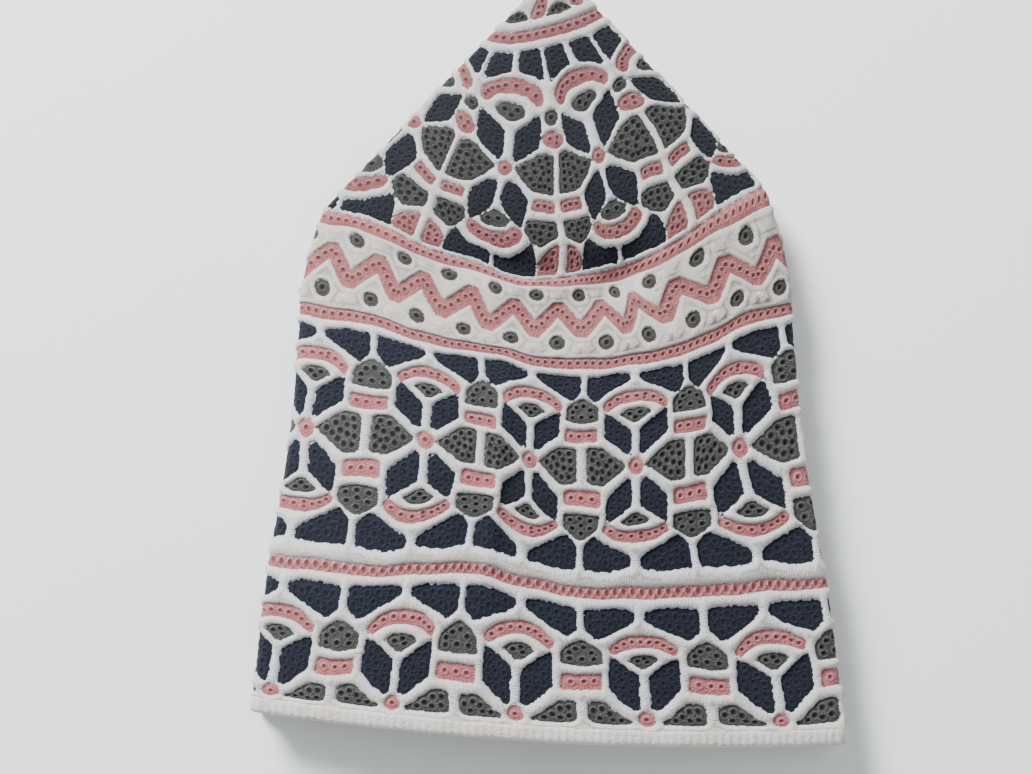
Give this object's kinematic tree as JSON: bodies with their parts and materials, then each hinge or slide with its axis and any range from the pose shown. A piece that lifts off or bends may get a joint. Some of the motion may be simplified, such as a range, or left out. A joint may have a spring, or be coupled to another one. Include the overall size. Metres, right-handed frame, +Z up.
{
  "type": "folded embroidered cap",
  "caption": "Flat-topped embroidered cotton cap, folded in four for storage and lying on its back panel, with an open mouth.",
  "frame": {"origin": "under the middle of the folded cap, on the surface that it lies on", "axes": "+Y along the fold towards the crown's centre, the mouth towards -Y, +Z up through the front panel"},
  "size_m": [0.1488, 0.2106, 0.0236],
  "materials": {
    "crown_cloth": "quilted cotton with white, navy, grey and pink embroidery",
    "side_cloth": "quilted cotton with white, navy, grey and pink embroidery",
    "hem_cloth": "plain white ribbed cotton binding",
    "navy_thread": "matt cotton thread",
    "grey_thread": "matt cotton thread",
    "pink_thread": "matt cotton thread"
  },
  "bodies": {
    "root": {"crown": "crown_cloth", "side_band": "side_cloth", "hem_band": "hem_cloth"}
  },
  "joints": []
}
